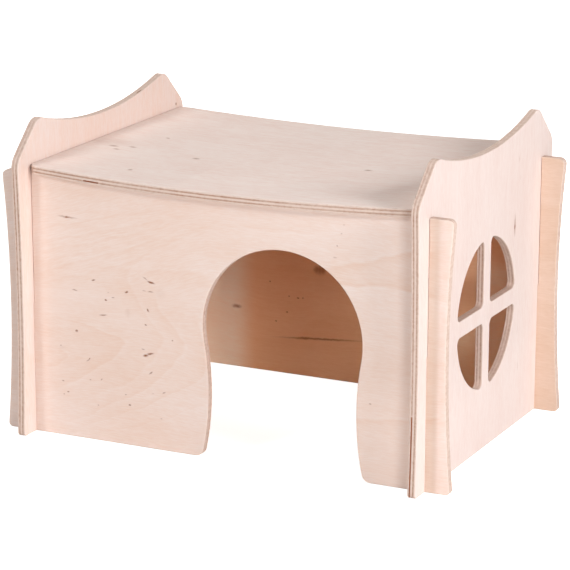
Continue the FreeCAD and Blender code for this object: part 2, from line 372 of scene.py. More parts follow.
@dataclass(frozen=True)
class Veneer:
    """One broad face of a board: its tone, and what marks it.

    The four strengths say how much the fibres, the peeled figure, the mottling and the long streaks
    show.
    """

    pale: str = "#F3E2DA"
    warm: str = "#EDCCB7"
    fibres: float = 0.5
    figure: float = 0.25
    mottle: float = 0.35
    streaks: float = 0.2
    flecks: Sequence[Fleck] = ()
    lines: Sequence[GrowthLine] = ()
    # Parts of the face in tones of their own: painted light and painted shade.
    parts: Sequence[PaintedLightPart] = ()


# --- finish ---


@dataclass(frozen=True)
class BirchPlywood:
    """Rotary-peeled birch plywood, routed to shape, sanded and left raw.

    To the eye it is a pale pinkish cream with a dry, silky surface. Fine fibre lines run along the
    grain, the peeling knife leaves faint stepped contours, and pin knots leave brown flecks. A cut
    shows five veneers, the two cross ones darker where their end grain meets the cut.
    """

    name: str
    seed: float
    fleck: str = "#8C4703"
    long_cut: str = "#E3CDC1"
    end_cut: str = "#B0866F"
    # The colour deep in a gap: painted shade in its recess.
    hollow: str = "#9C6040"
    # Roughness in the middle of the fibres' swing, and how far the swing takes it.
    roughness: float = 0.63
    rough_swing: float = 0.12
    fibre_height: float = 0.06 * MM
    fibre_relief: float = 0.3
    ior: float = 1.45
    # A birch fibre is 0.03 mm wide. The lines are bundles of them, coarse enough to show.
    fibre_line: Grain = Grain(9, 0.65, 11, 3)
    pore_line: Grain = Grain(3.5, 0.5, 23, 1)
    wander: Grain = Grain(80, 40, 5, 1.5)
    cloud: Grain = Grain(60, 24, 31, 3)
    streak: Grain = Grain(120, 4.5, 47)
    waver: Grain = Grain(22, 14, 53, 3)
    ragged: Grain = Grain(2.5, 2.5, 71)
    end_speckle: Grain = Grain(1.6, 1.6, 83)
    # How far the patterns move the fibres, the growth lines and the flecks' rims, in mm.
    drift: tuple[float, float, float] = (0.0, 14.0, 0.0)
    line_waver: tuple[float, float, float] = (12.0, 5.0, 0.0)
    fleck_waver: tuple[float, float, float] = (1.6, 0.9, 0.0)
    glue_waver: float = 0.06
    # The tone of plain wood, from the face's pale colour at 0 to its warm one at 1.
    plain_tone: float = 0.45
    # Peeled figure: millimetres from step to step, steps gained as the grain wanders, fall of a step.
    figure_pitch: float = 30.0
    figure_bend: float = 3.2
    figure_fall: float = 11.0
    # Tones of a cut along the face grain and straight across it, from long_cut at 0 to end_cut at 1.
    face_cut_tone: tuple[float, float] = (0.0, 0.24)
    cross_cut_tone: tuple[float, float] = (0.8, 0.35)
    cut_patches: tuple[float, float] = (0.35, 1.45)
    cut_speckle: tuple[float, float] = (-0.45, 0.45)
    # Depths below a broad face between which the cut's colour gives way to the face's, in mm.
    cut_to_face: tuple[float, float] = (0.25, 0.03)
    # Above lean_from the fibres climb towards the low end, by lean, over lean_reach along and across.
    lean: float = 0.0
    lean_from: tuple[float, float] = (-5, 58)
    lean_reach: tuple[float, float] = (110, 24)

    def material(self, thickness: float, layup: Layup, low: Veneer, high: Veneer) -> bpy.types.Material:
        """Builds the finish for one board.

        Args:
            thickness: The board's thickness.
            layup: Its veneers.
            low: The broad face at the low end of the depth axis.
            high: The broad face at the high end.

        Returns:
            The material.
        """
        material = bpy.data.materials.new(self.name)
        add = empty_tree(material)
        board = add("Attribute", attribute_name=BOARD_COORDS).outputs["Vector"]
        shifted = add("VectorMath", {0: board, 1: (self.seed * 37.0,) * 3}, operation="ADD")
        depth = add("SeparateXYZ", {0: board}).outputs[2]

        wander = add("MapRange", {"Value": self.wander.draw(add, shifted), **SWING})
        drifted = add("VectorMath", {0: wander, 1: self.drift, 2: shifted}, operation="MULTIPLY_ADD")
        drifted = add("VectorMath", {0: drifted, 1: self._leaning(add, board)}, operation="ADD")
        fine, finer = self.fibre_line.draw(add, drifted), self.pore_line.draw(add, drifted)
        fibres = add("Math", {0: fine, 1: finer}, operation="ADD")
        fibres = add("MapRange", {"Value": fibres, "From Min": 0.7, "From Max": 1.3, **SWING})
        faces = [self._face(add, board, shifted, wander, fibres, veneer) for veneer in (low, high)]
        is_high = add("Math", {0: depth, 1: 0.0}, operation="GREATER_THAN")
        face = add("Mix", {"Factor": is_high, "A": faces[0], "B": faces[1]}, data_type="RGBA")
        edge = self._edge(add, shifted, depth, thickness, layup)

        off_middle = add("Math", {0: depth}, operation="ABSOLUTE")
        from_depth, to_depth = (thickness / MM / 2 - below for below in self.cut_to_face)
        on_face = {"Value": off_middle, "From Min": from_depth, "From Max": to_depth}
        on_face = add("MapRange", on_face, interpolation_type="SMOOTHSTEP")
        colour = add("Mix", {"Factor": on_face, "A": edge, "B": face}, data_type="RGBA")
        rough = add("Math", {0: fibres, 1: self.rough_swing, 2: self.roughness}, operation="MULTIPLY_ADD")
        bump = {"Strength": self.fibre_relief, "Distance": self.fibre_height, "Height": fibres}
        look = {"Base Color": colour, "Roughness": rough, "IOR": self.ior, "Normal": add("Bump", bump)}
        add("OutputMaterial", {"Surface": add("BsdfPrincipled", look)})
        return material

    def _face(self, add: AddNode, board: Any, shifted: Any, wander: Any, fibres: Any, veneer: Veneer) -> Any:
        """Colours one broad face.

        Args:
            add: Adds a node to the tree.
            board: The board coordinates.
            shifted: The same, moved by this board's seed.
            wander: How far the grain wanders off its line.
            fibres: The fibre lines.
            veneer: The face's tone and marks.

        Returns:
            A node that gives the colour.
        """
        shades = [(fibres, veneer.fibres)]
        for pattern, strength in ((self.cloud, veneer.mottle), (self.streak, veneer.streaks)):
            mapping = {"Value": pattern.draw(add, shifted), "From Min": 0.3, "From Max": 0.7, **SWING}
            shades.append((add("MapRange", mapping), strength))
        shades.append((self._figure(add, board, wander), veneer.figure))
        places = add("SeparateXYZ", {0: self.waver.shake(add, board, self.line_waver)}).outputs
        shades += [(line.draw(add, places), line.strength) for line in veneer.lines]
        tone: Any = self.plain_tone
        for shade, strength in shades:
            tone = add("Math", {0: shade, 1: strength, 2: tone}, operation="MULTIPLY_ADD")
        wood, *others = (
            add("Mix", {"Factor": tone, "A": linear(own.pale), "B": linear(own.warm)}, data_type="RGBA")
            for own in (veneer, *veneer.parts)
        )
        # The parts lay their painted light and shade over the plain wood.
        for part, own in zip(veneer.parts, others):
            wood = add("Mix", {"Factor": part.draw(add, board), "A": wood, "B": own}, data_type="RGBA")
        dark = self._flecks(add, board, veneer.flecks)
        return add("Mix", {"Factor": dark, "A": wood, "B": linear(self.fleck)}, data_type="RGBA")

    def _leaning(self, add: AddNode, board: Any) -> Any:
        """Finds how far the fibres are off their straight line where they lean, high up at one end.

        Args:
            add: Adds a node to the tree.
            board: The board coordinates.

        Returns:
            A node that gives the shift as a vector across the grain.
        """
        places = add("SeparateXYZ", {0: board}).outputs
        (start, low), (reach, depth) = self.lean_from, self.lean_reach
        rise = self.lean * reach
        climb = {"Value": places[0], "From Min": start, "From Max": start - reach, "To Max": rise}
        high = {"Value": places[1], "From Min": low, "From Max": low + depth}
        high = add("MapRange", high, interpolation_type="SMOOTHSTEP")
        return add("CombineXYZ", {1: add("Math", {0: add("MapRange", climb), 1: high}, operation="MULTIPLY")})

    def _figure(self, add: AddNode, board: Any, wander: Any) -> Any:
        """Draws the stepped contours that peeling leaves all over a board.

        Each step darkens slowly and ends in a thin pale line.

        Args:
            add: Adds a node to the tree.
            board: The board coordinates.
            wander: How far the grain wanders off its line.

        Returns:
            A node that runs from about -0.5 to 0.5.
        """
        across = add("SeparateXYZ", {0: board}).outputs[1]
        level = add("Math", {0: across, 1: self.figure_pitch}, operation="DIVIDE")
        level = add("Math", {0: wander, 1: self.figure_bend, 2: level}, operation="MULTIPLY_ADD")
        step = add("Math", {0: level}, operation="FRACT")
        rise = add("Math", {0: step, 1: -0.5}, operation="ADD")
        fall = self.figure_fall
        fall = add("Math", {0: step, 1: -fall, 2: fall - 0.8}, operation="MULTIPLY_ADD")
        return add("Math", {0: rise, 1: fall}, operation="MINIMUM")

    def _flecks(self, add: AddNode, board: Any, flecks: Sequence[Fleck]) -> Any:
        """Finds how dark each point is with flecks.

        Args:
            add: Adds a node to the tree.
            board: The board coordinates.
            flecks: The flecks.

        Returns:
            A node or number, 0 for clear wood to 1 for a fleck.
        """
        if not flecks:
            return 0.0
        uneven = self.ragged.shake(add, board, self.fleck_waver)
        dark: Any = 0.0
        for fleck in flecks:
            spot = {"Vector": uneven, "Location": (fleck.along, fleck.across, 0.0)}
            spot["Rotation"] = (0.0, 0.0, math.radians(fleck.tilt))
            spot["Scale"] = (fleck.length / 2, fleck.width / 2, NO_DEPTH)
            spot = add("Mapping", spot, vector_type="TEXTURE")
            off = add("VectorMath", {0: spot}, operation="LENGTH").outputs["Value"]
            fade = {"Value": off, "From Min": 0.1, "From Max": 1.1, "To Min": fleck.strength, "To Max": 0.0}
            shade = add("MapRange", fade, interpolation_type="SMOOTHSTEP")
            dark = add("Math", {0: dark, 1: shade}, operation="MAXIMUM")
        return dark

    def _edge(self, add: AddNode, shifted: Any, depth: Any, thickness: float, layup: Layup) -> Any:
        """Colours the cut edges, veneer by veneer.

        A veneer shows dark end grain where the cut crosses its fibres and pale long grain where the
        cut runs along them, so the stripes trade tone round a curve.

        Args:
            add: Adds a node to the tree.
            shifted: The board coordinates, moved by this board's seed.
            depth: Depth from half thickness.
            thickness: The board's thickness.
            layup: Its veneers.

        Returns:
            A node that gives the colour.
        """
        waver = self.glue_waver
        waver = add("MapRange", {"Value": self.ragged.draw(add, shifted), "To Min": -waver, "To Max": waver})
        layer = add("Math", {0: add("Math", {0: depth}, operation="ABSOLUTE"), 1: waver}, operation="ADD")
        inside = add("Math", {0: layer, 1: (thickness / 2 - layup.face_veneer) / MM}, operation="LESS_THAN")
        outside = add("Math", {0: layer, 1: layup.core_veneer / MM / 2}, operation="GREATER_THAN")
        crosswise = add("Math", {0: inside, 1: outside}, operation="MULTIPLY")
        end = add("Attribute", attribute_name=END_GRAIN).outputs["Fac"]
        tones = [
            add("Math", {0: end, 1: across - along, 2: along}, operation="MULTIPLY_ADD")
            for along, across in (self.face_cut_tone, self.cross_cut_tone)
        ]
        tone = add("Mix", {"Factor": crosswise, "A": tones[0], "B": tones[1]})
        speckle, patch = (
            add("MapRange", {"Value": pattern.draw(add, shifted), "To Min": low, "To Max": high})
            for pattern, (low, high) in ((self.end_speckle, self.cut_speckle), (self.cloud, self.cut_patches))
        )
        tone = add("Math", {0: tone, 1: patch, 2: speckle}, operation="MULTIPLY_ADD")
        colours = {"A": linear(self.long_cut), "B": linear(self.end_cut)}
        wood = add("Mix", {"Factor": tone, **colours}, data_type="RGBA")
        # Deep in a gap the cut takes the hollow colour, painted shade.
        in_gap = add("MapRange", {"Value": end, "From Min": 1.1, "From Max": 1.5})
        return add("Mix", {"Factor": in_gap, "A": wood, "B": linear(self.hollow)}, data_type="RGBA")


# --- boards ---


@dataclass
class Board:
    """One flat plywood board, rebuilt from the outline of its solid."""

    piece: str
    node: str
    body: str
    slot: str
    grain: Axis
    depth_axis: Axis
    finish: BirchPlywood
    low_face: Veneer
    high_face: Veneer
    gaps: Sequence[Gap] = ()
    layup: Layup = Layup()
    same_place: float = 0.002 * MM
    outline_step: float = 1.5 * MM
    corner_step: float = 0.8 * MM
    corner_arris: float = 0.25
    corner_angle: float = math.radians(40)
    crease_angle: float = math.radians(35)

    def __post_init__(self) -> None:
        """Reads the board's place from its solid."""
        self.low, self.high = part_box(self.node)
        self.across_axis = next(axis for axis in Axis if axis not in (self.grain, self.depth_axis))
        self.middle = (self.low[self.depth_axis.value] + self.high[self.depth_axis.value]) / 2
        self.thickness = self.high[self.depth_axis.value] - self.low[self.depth_axis.value]

    def to_board(self, place: Vector) -> Vector:
        """Turns a place in the house into a place on the board.

        Args:
            place: The place in the house.

        Returns:
            Along the grain, across it, and depth from half thickness.
        """
        along, across, depth = (place[axis.value] for axis in (self.grain, self.across_axis, self.depth_axis))
        return Vector((along, across, depth - self.middle))

    def to_house(self, place: Vector) -> Vector:
        """Turns a place on the board into a place in the house.

        Args:
            place: Along the grain, across it, and depth from half thickness.

        Returns:
            The place in the house.
        """
        result = Vector((0, 0, 0))
        result[self.grain.value] = place.x
        result[self.across_axis.value] = place.y
        result[self.depth_axis.value] = place.z + self.middle
        return result

    def outline_loops(self) -> list[list[Vector]]:
        """Cuts the solid at half thickness.

        Returns:
            Closed loops on the board, each with the wood on its left.
        """
        cut = bmesh.new()
        cut.from_mesh(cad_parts[self.node].data)
        for vertex in cut.verts:
            vertex.co = self.to_board(vertex.co)
        bmesh.ops.remove_doubles(cut, verts=cut.verts, dist=self.same_place)
        whole = [*cut.verts, *cut.edges, *cut.faces]
        plane = {"plane_co": (0, 0, 0), "plane_no": (0, 0, 1)}
        bmesh.ops.bisect_plane(cut, geom=whole, **plane, clear_outer=True, clear_inner=True)
        bmesh.ops.remove_doubles(cut, verts=cut.verts, dist=self.same_place)
        loops = []
        unused = set(cut.verts)
        while unused:
            vertex = next(one for one in cut.verts if one in unused)
            loop = []
            edge = vertex.link_edges[0]
            while vertex in unused:
                unused.discard(vertex)
                loop.append(vertex.co.to_2d())
                vertex = edge.other_vert(vertex)
                edge = next(link for link in vertex.link_edges if link is not edge)
            loops.append(loop)
        cut.free()
        loops.sort(key=lambda loop: -abs(self._area(loop)))
        for number, loop in enumerate(loops):
            if (self._area(loop) > 0) != (number == 0):
                loop.reverse()
        return [self._resampled(self._cleaned(loop)) for loop in loops]

    @staticmethod
    def _area(loop: Sequence[Vector]) -> float:
        """Gives a loop's area, positive where it turns counter-clockwise."""
        return sum(a.cross(b) for a, b in zip(loop, [*loop[1:], loop[0]])) / 2

    @staticmethod
    def _cleaned(loop: Sequence[Vector]) -> list[Vector]:
        """Drops points that lie on the straight line between their neighbours.

        Args:
            loop: A closed loop.

        Returns:
            The loop with only the points where it turns.
        """
        kept = []
        for before, point, after in zip([loop[-1], *loop[:-1]], loop, [*loop[1:], loop[0]]):
            turn = (point - before).normalized().cross((after - point).normalized())
            if abs(turn) > math.radians(0.2):
                kept.append(point)
        return kept

    def _resampled(self, loop: Sequence[Vector]) -> list[Vector]:
        """Adds points so that no step is long, and close points beside each sharp corner.

        Args:
            loop: A closed loop.

        Returns:
            The same loop with more points.
        """
        count = len(loop)
        steps = [loop[(i + 1) % count] - loop[i] for i in range(count)]
        sharp = [steps[i - 1].angle(steps[i]) > self.corner_angle for i in range(count)]
        result = []
        for index, start in enumerate(loop):
            length = steps[index].length
            parts = max(1, math.ceil(length / self.outline_step))
            stops = [part / parts for part in range(parts)]
            if length > 3 * self.corner_step:
                if sharp[index]:
                    stops.append(self.corner_step / length)
                if sharp[(index + 1) % count]:
                    stops.append(1 - self.corner_step / length)
            finish = loop[(index + 1) % count]
            result += [start.lerp(finish, stop) for stop in sorted(set(stops))]
        return result

    def _gap_inset(self, place: Vector, cross: int) -> float:
        """Gives how far the cut edge is set back by a gap in a cross veneer.

        Args:
            place: A point of the outline.
            cross: The cross veneer, 1 for the upper and -1 for the lower.

        Returns:
            The depth of the gap there, or 0.
        """
        for gap in self.gaps:
            if gap.cross == cross and (place / MM - Vector((gap.along, gap.across))).length < gap.length / 2:
                return gap.depth * MM
        return 0.0

    def build(self) -> bpy.types.Object:
        """Builds the board's mesh in its place.

        Returns:
            The new object.
        """
        work = bmesh.new()
        coords = work.verts.layers.float_vector.new(BOARD_COORDS)
        end_grain = work.verts.layers.float.new(END_GRAIN)
        caps: Caps = {1: [], -1: []}
        for loop in self.outline_loops():
            self._sweep(work, loop, end_grain, caps)
        for side, edges in caps.items():
            bmesh.ops.triangle_fill(work, edges=edges, use_beauty=True, normal=(0, 0, side))
        work.normal_update()
        for face in work.faces:
            face.smooth = True
            depth = face.calc_center_median().z
            face.tag = abs(abs(depth) - self.thickness / 2) < self.same_place
            if face.tag and (face.normal.z > 0) != (depth > 0):
                face.normal_flip()
        self._cut_across(work)
        for edge in work.edges:
            tags = {face.tag for face in edge.link_faces}
            if len(edge.link_faces) == 2:
                edge.smooth = len(tags) == 1 and edge.calc_face_angle(0.0) < self.crease_angle
        for vertex in work.verts:
            vertex[coords] = vertex.co / MM
            vertex.co = self.to_house(vertex.co)
        bmesh.ops.recalc_face_normals(work, faces=work.faces)
        if work.calc_volume(signed=True) < 0:
            bmesh.ops.reverse_faces(work, faces=work.faces)
        mesh = bpy.data.meshes.new(self.piece)
        work.to_mesh(mesh)
        work.free()
        built = bpy.data.objects.new(self.piece, mesh)
        bpy.context.scene.collection.objects.link(built)
        return built

    def _sweep(self, work: bmesh.types.BMesh, loop: Sequence[Vector], end_grain: Any, caps: Caps) -> None:
        """Runs the cut edge's profile round one loop of the outline.

        Args:
            work: The mesh being built.
            loop: The loop, with the wood on its left.
            end_grain: The layer that says how much a cut crosses the face grain.
            caps: Edges that bound the two broad faces, added to here.
        """
        count = len(loop)
        rings: list[list[bmesh.types.BMVert]] = []
        profile = self.layup.profile(self.thickness)
        normals = []
        for index, point in enumerate(loop):
            before = (point - loop[index - 1]).normalized()
            after = (loop[(index + 1) % count] - point).normalized()
            inward = Vector((-before.y - after.y, before.x + after.x)).normalized()
            reach = 1 / max(0.5, inward.dot(Vector((-before.y, before.x))))
            share = self.corner_arris if before.angle(after) > self.corner_angle else 1.0
            normals.append((inward * reach, share, abs(inward.x)))
        for inset, depth, cross in profile:
            ring = []
            for point, (inward, share, crossing) in zip(loop, normals):
                hollow = self._gap_inset(point, cross) if cross else 0.0
                place = point + inward * (inset * share + hollow)
                vertex = work.verts.new((place.x, place.y, depth))
                # A point deep in a gap is marked 2, for the painted shade there.
                vertex[end_grain] = 2.0 if hollow else crossing
                ring.append(vertex)
            rings.append(ring)
        for upper, lower in zip(rings, rings[1:]):
            for index in range(count):
                following = (index + 1) % count
                work.faces.new((upper[index], lower[index], lower[following], upper[following]))
        for side, ring in ((1, rings[0]), (-1, rings[-1])):
            for index in range(count):
                caps[side].append(work.edges.get((ring[index], ring[(index + 1) % count])))

    def _cut_across(self, work: bmesh.types.BMesh) -> None:
        """Divides the mesh where the board needs it. A flat board needs nothing."""

    def make(self) -> None:
        """Builds the board, finishes it, and puts it in the place of its solid."""
        built = self.build()
        finish = self.finish.material(self.thickness, self.layup, self.low_face, self.high_face)
        built.data.materials.append(finish)
        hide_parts(self.node)
        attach(built, self.body)
        log.info("%s: %d faces", self.piece, len(built.data.polygons))


@dataclass
class BentBoard(Board):
    """A board that is cut flat and bent along its grain to the dish of its solid."""

    bend_step: float = 5.0 * MM
    sheet: float = 4.0 * MM

    def __post_init__(self) -> None:
        """Reads the bend from the solid: the lowest point, and the highest, on its rim."""
        super().__post_init__()
        self.thickness = self.sheet
        rim = max((v.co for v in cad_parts[self.node].data.vertices), key=lambda place: place.z)
        rise = rim.z - self.low.z
        under = (rim.x**2 + rise**2 - self.sheet**2) / (2 * (rise - self.sheet))
        self.bend_centre = self.low.z + under
        self.bend_radius = under - self.sheet / 2

    def to_board(self, place: Vector) -> Vector:
        """Unbends a place in the house onto the flat board."""
        radius = math.hypot(place.x, self.bend_centre - place.z)
        return Vector((place.x, place.y, self.bend_radius - radius))

    def to_house(self, place: Vector) -> Vector:
        """Bends a place on the flat board into the house."""
        radius = self.bend_radius - place.z
        return Vector((place.x, place.y, self.bend_centre - math.sqrt(radius**2 - place.x**2)))

    def _cut_across(self, work: bmesh.types.BMesh) -> None:
        """Divides the mesh along the grain, so that it bends smoothly.

        Args:
            work: The flat mesh.
        """
        steps = int(self.high.x / self.bend_step)
        for step in range(-steps, steps + 1):
            whole = [*work.verts, *work.edges, *work.faces]
            place = (step * self.bend_step, 0, 0)
            bmesh.ops.bisect_plane(work, geom=whole, plane_co=place, plane_no=(1, 0, 0))


# --- the house ---

# Rings round a branch at the front wall's left, and knife lines above it and beside the doorway,
# each as its points, its band and its strength.
FRONT_RINGS = (
    (((21.5, -92.4), (30, -76.3), (41.3, -59.6), (47.2, -54.1), (51.5, -52.3), (54.6, -60.7), (58.2, -81.1),
      (59.8, -90.7)), 26, 0.4),
    (((11.5, -92), (22.2, -66.8), (35.9, -44.8), (43.3, -37.3), (50.1, -32.6), (54.5, -31.6), (59.3, -33.8),
      (71.7, -44.3), (79.2, -47.5), (85.3, -47.8), (91.1, -44.6), (100.4, -28), (110.9, -7), (117.3, 3.3)),
      16, 0.24),
    (((5.9, -86.5), (18.7, -58.7), (31.5, -38.2), (38.7, -28.7), (43.9, -23.4), (48.6, -20.7), (54, -21.3),
      (60, -24.8), (65.7, -29.7), (72.3, -34.9), (80.5, -36.8)), 13, 0.3),
    (((1.9, -83.8), (14.9, -52), (28.8, -26.2), (35.6, -15.5), (40.9, -9.6), (47.8, -8), (60.9, -10),
      (71.4, -12.5)), 11, 0.28),
    (((0.9, -72.8), (11.4, -39.8), (21.7, -15.6), (26.1, -6.3)), 9, 0.2),
    (((32.1, -92.8), (37.6, -84.4), (40.4, -82.2), (42.2, -83.1), (44.2, -91.1)), 9, 0.28),
)
FRONT_KNIFE_LINES = (
    (((-98.5, 79), (-70.9, 88), (-50.6, 95.6), (-31.2, 103.9)), 3, 0.28),
    (((-98.7, 73.5), (-69.6, 82.4), (-49.3, 90.5), (-38, 95.5)), 2.6, 0.25),
    (((-98.3, 88.6), (-68, 96.9), (-41.1, 105.3), (-20, 112.4)), 3, 0.26),
    (((-98.1, 94.9), (-62.5, 102.9), (-20.5, 115.4)), 2.6, 0.25),
    (((-98, 101.5), (-66, 108.6), (-30, 118.5)), 3, 0.24),
    (((-98, 84), (-64, 94), (-30, 107)), 2.2, 0.2),
    (((-40.1, 86.8), (-22.9, 88.2), (-12.4, 88.6), (-3, 87.9)), 5, 0.35),
    (((8.4, 115.5), (26.2, 114.6), (51.3, 115)), -4, 0.25),
    (((50, 95), (68.8, 93.3), (77.4, 94.9), (110, 90)), -9, 0.7),
    (((52, 97.9), (83.4, 107.7), (110, 113.4)), 9, 0.6),
    (((60, 28.2), (81.9, 31.4), (110, 35.5)), 7, 0.6),
)
# Each fleck's values are in the order of its fields.
FRONT_FLECKS = (
    (-80.7, 108.4, 12, 1.2, 0.6, -2), (-81, 108.4, 5, 1.3, 0.95, -2), (-67.1, 79.3, 2.9, 1.08, 0.8, 12),
    (-77.2, 73.2, 3.2, 0.89, 0.69, -4), (-60.4, 70.4, 1.6, 1.37, 0.94), (-56.6, 72, 2.4, 0.89, 0.59, 5),
    (-59, 74.2, 1.6, 0.68, 0.3, 5), (-49.4, 75.6, 2.5, 1.37, 0.99, 15), (-62.2, 62.8, 4.8, 0.98, 0.65, 6),
    (-36.1, 81.8, 5.2, 1.37, 0.99, -12), (-39.4, 83.4, 4.4, 0.78, 0.5, -25), (-36.5, 77.2, 4.2, 0.89, 0.59),
    (-40, 77.3, 2.4, 0.78, 0.35), (-31.5, 77, 7.5, 7.5, 0.05), (-38.1, 68.2, 2.6, 1.17, 0.9, -52),
    (-39.3, 60.8, 1.6, 1.08, 0.8, -20), (-25, 55, 1.4, 1.08, 0.65), (-37, 46.9, 5.2, 1.17, 0.94, 14),
    (-39.6, 45.8, 3.4, 1.76, 0.99, 14), (-40.7, 48.8, 2.4, 0.89, 0.55, -8), (-76.8, 53.1, 1.9, 1.56, 0.8),
    (-85.8, 44.9, 1.4, 0.98, 0.65), (-85, 43.9, 5.5, 2.6, 0.07, 10), (-70.6, 39.5, 3.6, 0.89, 0.55, 38),
    (-69.8, 40.3, 1.4, 0.89, 0.8, 38), (-36.8, 37.6, 3, 0.89, 0.69, 42), (-84.7, 27.3, 2, 0.89, 0.59, -5),
    (-81.9, 22.1, 1.7, 0.98, 0.69), (-84.4, 20.6, 1, 0.78, 0.5), (-69.7, 29.9, 1.2, 0.78, 0.5),
    (-63.6, 30.8, 2, 0.89, 0.59, 28), (-50.4, 25, 1.4, 0.78, 0.55), (-48.3, 20.1, 1.8, 1.17, 0.84),
    (-65.5, 17.7, 1.2, 0.78, 0.5), (-29.9, 28.7, 2.4, 0.89, 0.65, 28), (-35.8, 27.6, 2, 0.68, 0.3),
    (-31.4, 15.8, 1.6, 0.78, 0.4), (-48.7, 65.5, 3.8, 6.2, 0.08), (59.5, 110.4, 1.3, 0.98, 0.59),
    (58.3, 104.8, 2.4, 0.89, 0.3), (62.7, 120.3, 1.4, 0.78, 0.3), (61.6, 116.4, 1.4, 0.78, 0.35),
    (76.3, 38.2, 1.5, 0.98, 0.5),
)


@dataclass
class House:
    """The four walls, lapped at the corners, and the loose roof on them."""

    body: str = "house"
    roof_body: str = "roof"
    # The inner faces of the walls and the roof's underside get the deeper tan: painted shade, where the
    # house's inside lies in shade.
    painted_shade_inside_ends: PaintedLightPart = PaintedLightPart((-100, -1), (100, 200))
    painted_shade_inside_sides: PaintedLightPart = PaintedLightPart((-1, -67), (130, 67))
    painted_shade_under_roof: PaintedLightPart = PaintedLightPart((-100, -67), (100, 67))

    def front_wall(self) -> Board:
        """The doorway wall. Its outer face has most of the flecks, where a branch was near.

        Returns:
            The board.
        """
        figure = ((Run.ACROSS, FRONT_RINGS), (Run.ALONG, FRONT_KNIFE_LINES))
        outside = Veneer(
            "#F3E1D9", "#EBCDBC", fibres=0.45, figure=0.0, mottle=0.5, streaks=0.16,
            parts=(
                # The paler patch low at the right of the doorway is painted light, where the lamps' light
                # falls off lower down.
                PaintedLightPart((72, -20), (110, 46), "#FBE8DF", "#F4D7C7", border=30),
                # The tan strip on the fin beside the right wall is the painted shadow of that wall's lip.
                PaintedLightPart((103, -10), (109, 160), "#E6D3C6", "#DEC0AC", border=3),
            ),
            lines=[GrowthLine(run, *line) for run, lines in figure for line in lines],
            flecks=Fleck.several(*FRONT_FLECKS),
        )
        return Board(
            "front_wall", "front_panel", self.body, "birch_plywood_front", Axis.X, Axis.Y,
            finish=BirchPlywood("birch_plywood_front_sanded", seed=3, lean=0.27),
            low_face=outside, high_face=Veneer(parts=(self.painted_shade_inside_ends,)),
        )

    def back_wall(self) -> Board:
        """The plain wall. Its inner face shows through the doorway.

        Returns:
            The board.
        """
        pin_knots = ((-31.4, 41.6), (-26.3, 41.1), (-23.5, 41.5), (-42.3, 48.2), (-32.6, 32.9), (-38.9, 27.3))
        inside = Veneer(
            "#EAD0BF", "#DEBEA6",
            parts=(
                # The deep tan over the whole inside is painted shade.
                PaintedLightPart((-101, -20), (101, 160), "#FFD0A8", "#F6C090", border=2),
                # The pale patch at the far left is a painted pool of light.
                PaintedLightPart((-96, -20), (-57, 74), "#FFF0DC", "#FDE2C8", border=16),
                # The pale patches low at the right, behind the window, are painted light.
                PaintedLightPart((48, -20), (74, 36), "#FFDFBC", "#FACFA4", border=14),
                PaintedLightPart((75, -20), (97, 72), "#FFE6CA", "#FFD8B2", border=14),
            ),
            flecks=Fleck.several(
                (-14, 20.8, 58, 1.6, 0.68, 4.6), (-22, 20.2, 18, 1.9, 0.68, 4),
                (-61.4, 32.5, 7.2, 2.9, 0.68), (-15.6, 57.5, 5.4, 5.8, 0.61),
                (-14, 57.4, 5.4, 6.8, 0.61), (-12.4, 57.3, 5.4, 5.8, 0.61),
                *((along, across, 1.4, 1.1, 0.75) for along, across in pin_knots),
            ),
        )
        return Board(
            "back_wall", "back_panel", self.body, "birch_plywood_back", Axis.X, Axis.Y,
            finish=BirchPlywood("birch_plywood_back_sanded", seed=8),
            low_face=inside, high_face=Veneer(figure=0.4),
        )

    def side_wall(self, side: str, seed: float, low_face: Veneer, high_face: Veneer, gap: Gap) -> Board:
        """One of the two horned walls with a round window.

        Args:
            side: Left or right.
            seed: Sets its figure apart from the other's.
            low_face: Its face towards the left.
            high_face: Its face towards the right.
            gap: Where a cross veneer was pieced.

        Returns:
            The board.
        """
        return Board(
            f"{side}_wall", f"{side}_side_panel", self.body, "birch_plywood_sides", Axis.Z, Axis.X,
            finish=BirchPlywood(f"birch_plywood_{side}_wall_sanded", seed=seed),
            low_face=low_face, high_face=high_face, gaps=(gap,),
        )

    def left_wall(self) -> Board:
        """The left wall. A cross veneer was pieced where its rear horn begins.

        Returns:
            The board.
        """
        inside = Veneer(
            "#ECDBD5", "#E7C7B6", figure=0.1, mottle=0.4,
            # The dark fleck high at the rear, behind the roof's back corner, is painted shade in the gap
            # there.
            flecks=Fleck.several((134.1, 74.4, 2.4, 2, 0.9)), parts=(self.painted_shade_inside_sides,),
        )
        horn_gap = Gap(149.5, 37.5, 6, 1, 0.8)
        return self.side_wall("left", 21, Veneer(figure=0.15), inside, horn_gap)

    def right_wall(self) -> Board:
        """The right wall, palest of all, with one bark streak above the window.

        Returns:
            The board.
        """
        outside = Veneer(
            "#EADBD5", "#E1C9C1", figure=0.08,
            # The paler lower part is painted light, from the floor's bounce.
            parts=(PaintedLightPart((-60, -100), (40, 100), "#F2E3DD", "#E9D1C9", border=40),),
            flecks=Fleck.several(
                (101.2, 33.9, 14, 2.5, 0.6), (100.6, 33.9, 6, 2.5, 0.95), (132.8, 37.6, 5, 0.9, 0.3),
                (123.6, 40, 3, 0.8, 0.2), (47.8, 40.2, 6, 0.8, 0.25), (29, 42.1, 7, 0.8, 0.25),
            ),
        )
        inside = Veneer("#FFF1E6", "#FBDFCB", figure=0.15, parts=(self.painted_shade_inside_sides,))
        foot_gap = Gap(18.5, -79, 40, -1, 0.2)
        return self.side_wall("right", 27, inside, outside, foot_gap)

